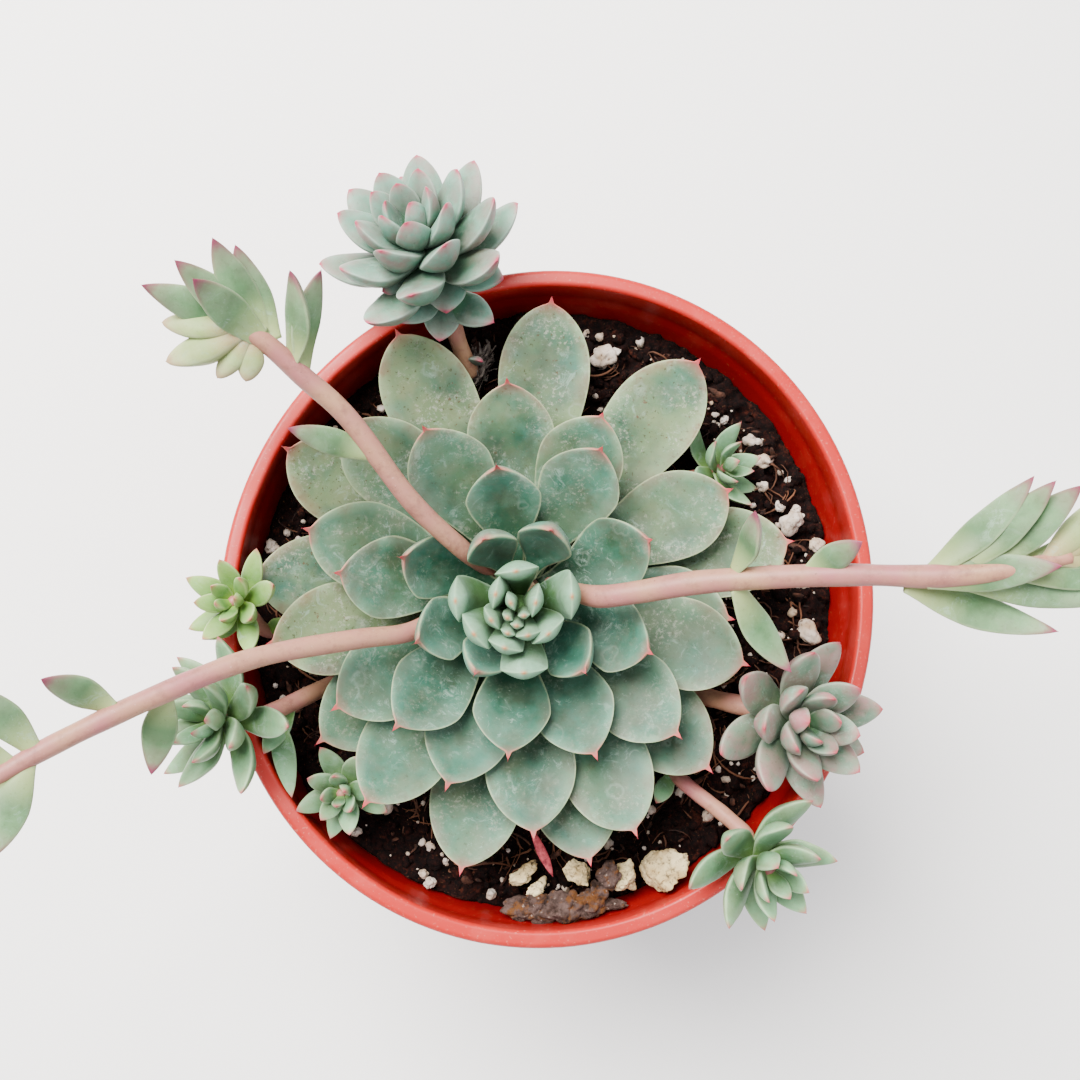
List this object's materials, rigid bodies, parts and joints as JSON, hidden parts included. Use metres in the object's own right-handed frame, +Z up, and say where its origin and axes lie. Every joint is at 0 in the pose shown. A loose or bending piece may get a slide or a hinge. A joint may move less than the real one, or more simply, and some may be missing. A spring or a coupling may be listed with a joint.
{
  "type": "potted rosette succulent",
  "caption": "Rosette succulent with pink-tipped grey-green leaves, flower stalks and side rosettes, growing in a round red plastic nursery pot",
  "frame": {"origin": "centre of the pot's flat foot, on the surface it stands on", "axes": "+Z up along the pot's axis; +Y towards the side where the largest side rosette leans out over the rim; +X towards the longest flower stalk"},
  "size_m": [0.2045, 0.1485, 0.153],
  "materials": {
    "pot_plastic": "matte",
    "potting_soil": "matte",
    "old_stem": "matte",
    "young_leaf_skin": "satin",
    "leaf_skin": "satin",
    "stalk_skin": "satin",
    "side_leaf_skin": "satin",
    "pumice": "matte",
    "bark": "matte",
    "dry_leaf": "matte"
  },
  "bodies": {
    "root": {"pot": "pot_plastic", "soil": "potting_soil", "main_stem": "old_stem", "heart": "young_leaf_skin", "leaf_01": "leaf_skin", "leaf_02": "leaf_skin", "leaf_03": "leaf_skin", "leaf_04": "leaf_skin", "leaf_05": "leaf_skin", "leaf_06": "leaf_skin", "leaf_07": "leaf_skin", "leaf_08": "leaf_skin", "leaf_09": "leaf_skin", "leaf_10": "leaf_skin", "leaf_11": "leaf_skin", "leaf_12": "leaf_skin", "leaf_13": "leaf_skin", "leaf_14": "leaf_skin", "leaf_15": "leaf_skin", "leaf_16": "leaf_skin", "leaf_17": "leaf_skin", "leaf_18": "leaf_skin", "leaf_19": "leaf_skin", "leaf_20": "leaf_skin", "leaf_21": "leaf_skin", "leaf_22": "leaf_skin", "leaf_23": "leaf_skin", "leaf_24": "leaf_skin", "leaf_25": "leaf_skin", "leaf_26": "leaf_skin", "leaf_27": "leaf_skin", "leaf_28": "leaf_skin", "leaf_29": "leaf_skin", "leaf_30": "leaf_skin", "leaf_31": "leaf_skin", "leaf_32": "leaf_skin", "leaf_33": "leaf_skin", "leaf_34": "leaf_skin", "leaf_35": "leaf_skin", "leaf_36": "leaf_skin", "leaf_37": "leaf_skin", "leaf_38": "leaf_skin", "leaf_39": "leaf_skin", "stalk_back": "stalk_skin", "stalk_right": "stalk_skin", "stalk_left": "stalk_skin", "offset_back": "side_leaf_skin", "offset_right": "side_leaf_skin", "offset_front_right": "side_leaf_skin", "offset_left": "side_leaf_skin", "offset_front_left": "side_leaf_skin", "offset_front": "side_leaf_skin", "offset_right_back": "side_leaf_skin", "pumice_large": "pumice", "pumice_middle": "pumice", "pumice_round": "pumice", "pumice_small": "pumice", "bark_chip": "bark", "dry_scale": "dry_leaf"}
  },
  "joints": []
}
